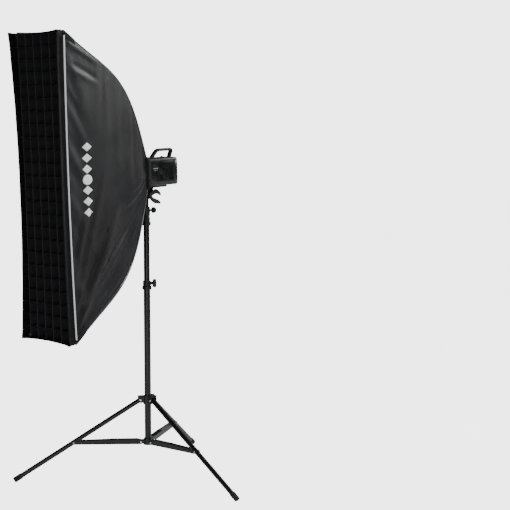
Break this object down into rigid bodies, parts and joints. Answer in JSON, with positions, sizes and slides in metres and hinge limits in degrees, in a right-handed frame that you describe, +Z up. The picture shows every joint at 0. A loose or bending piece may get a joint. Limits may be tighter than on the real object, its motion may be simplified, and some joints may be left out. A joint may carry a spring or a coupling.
{
  "type": "studio softbox",
  "caption": "Tall narrow softbox with an egg-crate grid on a studio flash head, held by a tilting bracket on a folding tripod stand.",
  "frame": {"origin": "bottom centre of the bounding box, on the floor under the object", "axes": "+Z up along the stand, -Y the way the light shines, +X to the left of a person who looks into the light"},
  "size_m": [0.8868, 1.0848, 1.8339],
  "materials": {
    "stand_tube": "gloss",
    "brace_metal": "satin",
    "stand_plastic": "satin",
    "foot_rubber": "matte",
    "bright_steel": "polished",
    "cast_alloy": "satin",
    "ring_metal": "satin",
    "bracket_black": "satin",
    "lever_plastic": "satin",
    "housing_gloss": "gloss",
    "housing_grey": "satin",
    "panel_plastic": "matte",
    "button_grey": "satin",
    "switch_red": "gloss",
    "lamp_glass": "gloss",
    "rod_steel": "satin",
    "shell_fabric": "satin",
    "diffuser_fabric": "matte",
    "grid_fabric": "matte"
  },
  "bodies": {
    "stand_base": {"main_tube": "stand_tube", "lower_collar": "stand_plastic", "lower_clamp": "stand_plastic", "brace_pin_1": "bright_steel", "brace_pin_2": "bright_steel", "brace_pin_3": "bright_steel"},
    "leg_collar": {"upper_collar": "stand_plastic", "leg_pin_1": "bright_steel", "leg_pin_2": "bright_steel", "leg_pin_3": "bright_steel"},
    "leg_1_body": {"leg_1": "stand_tube", "foot_1": "foot_rubber"},
    "brace_1_body": {"brace_1": "brace_metal"},
    "leg_2_body": {"leg_2": "stand_tube", "foot_2": "foot_rubber"},
    "brace_2_body": {"brace_2": "brace_metal"},
    "leg_3_body": {"leg_3": "stand_tube", "foot_3": "foot_rubber"},
    "brace_3_body": {"brace_3": "brace_metal"},
    "collar_lock_knob_body": {"collar_lock_knob": "stand_plastic"},
    "lower_clamp_knob_body": {"lower_clamp_knob": "stand_plastic"},
    "middle_mast": {"middle_tube": "stand_tube", "upper_clamp": "stand_plastic"},
    "upper_clamp_knob_body": {"upper_clamp_knob": "stand_plastic"},
    "top_mast": {"top_tube": "stand_tube", "stand_spigot": "bright_steel"},
    "bracket_base": {"stand_socket": "cast_alloy"},
    "socket_lock_knob_body": {"socket_lock_knob": "stand_plastic"},
    "flash_head": {"tilt_bracket": "bracket_black", "tilt_bolt": "bright_steel", "side_shell": "housing_gloss", "top_cover": "housing_grey", "bottom_cover": "housing_grey", "modifier_mount": "ring_metal", "flash_tube": "lamp_glass", "modelling_lamp": "lamp_glass", "rear_panel": "panel_plastic", "power_inlet": "panel_plastic", "carry_handle": "lever_plastic"},
    "tilt_lever_body": {"tilt_lever": "lever_plastic"},
    "tilt_wing_nut_body": {"tilt_wing_nut": "lever_plastic"},
    "softbox": {"speedring": "ring_metal", "rod_upper_left": "rod_steel", "rod_upper_right": "rod_steel", "rod_lower_left": "rod_steel", "rod_lower_right": "rod_steel", "left_panel": "shell_fabric", "right_panel": "shell_fabric", "upper_panel": "shell_fabric", "lower_panel": "shell_fabric", "inner_baffle": "diffuser_fabric", "front_diffuser": "diffuser_fabric", "front_lip": "shell_fabric", "egg_crate_grid": "grid_fabric"},
    "power_dial_body": {"power_dial": "lever_plastic"},
    "test_button_body": {"test_button": "button_grey"},
    "mode_button_body": {"mode_button": "button_grey"},
    "power_switch_body": {"power_switch": "switch_red"},
    "release_catch_body": {"release_catch": "lever_plastic"}
  },
  "joints": [
    {"name": "collar_slide", "type": "slide", "parent": "stand_base", "child": "leg_collar", "axis": [0, 0, 1], "range_m": [0, 0.4323]},
    {"name": "leg_1_fold", "type": "hinge", "parent": "leg_collar", "child": "leg_1_body", "pos_m": [-0.09122, 0.0305, 0.32419], "axis": [0.061, 0.9981, 0], "range_deg": [0, 56.25]},
    {"name": "brace_1_fold", "type": "hinge", "parent": "stand_base", "child": "brace_1_body", "pos_m": [-0.09122, 0.0305, 0.1438], "axis": [-0.061, -0.9981, 0], "range_deg": [0, 84.25]},
    {"name": "leg_2_fold", "type": "hinge", "parent": "leg_collar", "child": "leg_2_body", "pos_m": [-0.13744, 0.06109, 0.32419], "axis": [-0.8949, -0.4462, 0], "range_deg": [0, 56.25]},
    {"name": "brace_2_fold", "type": "hinge", "parent": "stand_base", "child": "brace_2_body", "pos_m": [-0.13744, 0.06109, 0.1438], "axis": [0.8949, 0.4462, 0], "range_deg": [0, 84.25]},
    {"name": "leg_3_fold", "type": "hinge", "parent": "leg_collar", "child": "leg_3_body", "pos_m": [-0.14082, 0.00577, 0.32419], "axis": [0.8339, -0.5519, 0], "range_deg": [0, 56.25]},
    {"name": "brace_3_fold", "type": "hinge", "parent": "stand_base", "child": "brace_3_body", "pos_m": [-0.14082, 0.00577, 0.1438], "axis": [-0.8339, 0.5519, 0], "range_deg": [0, 84.25]},
    {"name": "collar_lock_knob_turn", "type": "hinge", "parent": "leg_collar", "child": "collar_lock_knob_body", "pos_m": [-0.12316, 0.03245, 0.32819], "axis": [0.5519, 0.8339, 0], "range_deg": [0, 360]},
    {"name": "lower_clamp_knob_turn", "type": "hinge", "parent": "stand_base", "child": "lower_clamp_knob_body", "pos_m": [-0.12316, 0.03245, 0.818], "axis": [0.766, 0.6428, 0], "range_deg": [0, 360]},
    {"name": "middle_tube_slide", "type": "slide", "parent": "stand_base", "child": "middle_mast", "axis": [0, 0, 1], "range_m": [-0.228, 0.3]},
    {"name": "upper_clamp_knob_turn", "type": "hinge", "parent": "middle_mast", "child": "upper_clamp_knob_body", "pos_m": [-0.12316, 0.03245, 1.087], "axis": [-0.7431, -0.6691, 0], "range_deg": [0, 360]},
    {"name": "top_tube_slide", "type": "slide", "parent": "middle_mast", "child": "top_mast", "axis": [0, 0, 1], "range_m": [0, 0.35]},
    {"name": "pan_turn", "type": "hinge", "parent": "top_mast", "child": "bracket_base", "pos_m": [-0.12316, 0.03245, 1.0999], "axis": [0, 0, 1], "continuous": true},
    {"name": "socket_lock_knob_turn", "type": "hinge", "parent": "bracket_base", "child": "socket_lock_knob_body", "pos_m": [-0.12316, 0.03245, 1.1229], "axis": [0, 1, 0], "range_deg": [0, 360]},
    {"name": "tilt", "type": "hinge", "parent": "bracket_base", "child": "flash_head", "pos_m": [-0.12316, 0.03245, 1.1875], "axis": [1, 0, 0], "range_deg": [-60, 10]},
    {"name": "tilt_lever_turn", "type": "hinge", "parent": "flash_head", "child": "tilt_lever_body", "pos_m": [-0.12316, 0.03245, 1.1875], "axis": [1, 0, 0], "range_deg": [-35, 35]},
    {"name": "tilt_wing_nut_turn", "type": "hinge", "parent": "flash_head", "child": "tilt_wing_nut_body", "pos_m": [-0.12316, 0.03245, 1.1875], "axis": [1, 0, 0], "range_deg": [-15, 10]},
    {"name": "softbox_turn", "type": "hinge", "parent": "flash_head", "child": "softbox", "pos_m": [-0.12316, 0.00915, 1.28174], "axis": [0, -0.9994, -0.0349], "continuous": true},
    {"name": "power_dial_turn", "type": "hinge", "parent": "flash_head", "child": "power_dial_body", "pos_m": [-0.13516, 0.18133, 1.29376], "axis": [0, 0.9994, 0.0349], "range_deg": [-135, 135]},
    {"name": "test_button_press", "type": "slide", "parent": "flash_head", "child": "test_button_body", "axis": [0, -0.9994, -0.0349], "range_m": [0, 0.0015], "stiffness_N_per_m": 400},
    {"name": "mode_button_press", "type": "slide", "parent": "flash_head", "child": "mode_button_body", "axis": [0, -0.9994, -0.0349], "range_m": [0, 0.0015], "stiffness_N_per_m": 400},
    {"name": "power_switch_rock", "type": "hinge", "parent": "flash_head", "child": "power_switch_body", "pos_m": [-0.14116, 0.18038, 1.26371], "axis": [-1, 0, 0], "range_deg": [0, 14]},
    {"name": "release_catch_slide", "type": "slide", "parent": "flash_head", "child": "release_catch_body", "axis": [0, 0.9994, 0.0349], "range_m": [0, 0.005], "stiffness_N_per_m": 300}
  ],
  "couplings": [
    {"joint": "leg_1_fold", "follows": "collar_slide", "rad_per_m": 2.269},
    {"joint": "brace_1_fold", "follows": "collar_slide", "rad_per_m": 3.3996},
    {"joint": "leg_2_fold", "follows": "collar_slide", "rad_per_m": 2.269},
    {"joint": "brace_2_fold", "follows": "collar_slide", "rad_per_m": 3.3996},
    {"joint": "leg_3_fold", "follows": "collar_slide", "rad_per_m": 2.269},
    {"joint": "brace_3_fold", "follows": "collar_slide", "rad_per_m": 3.3996}
  ]
}
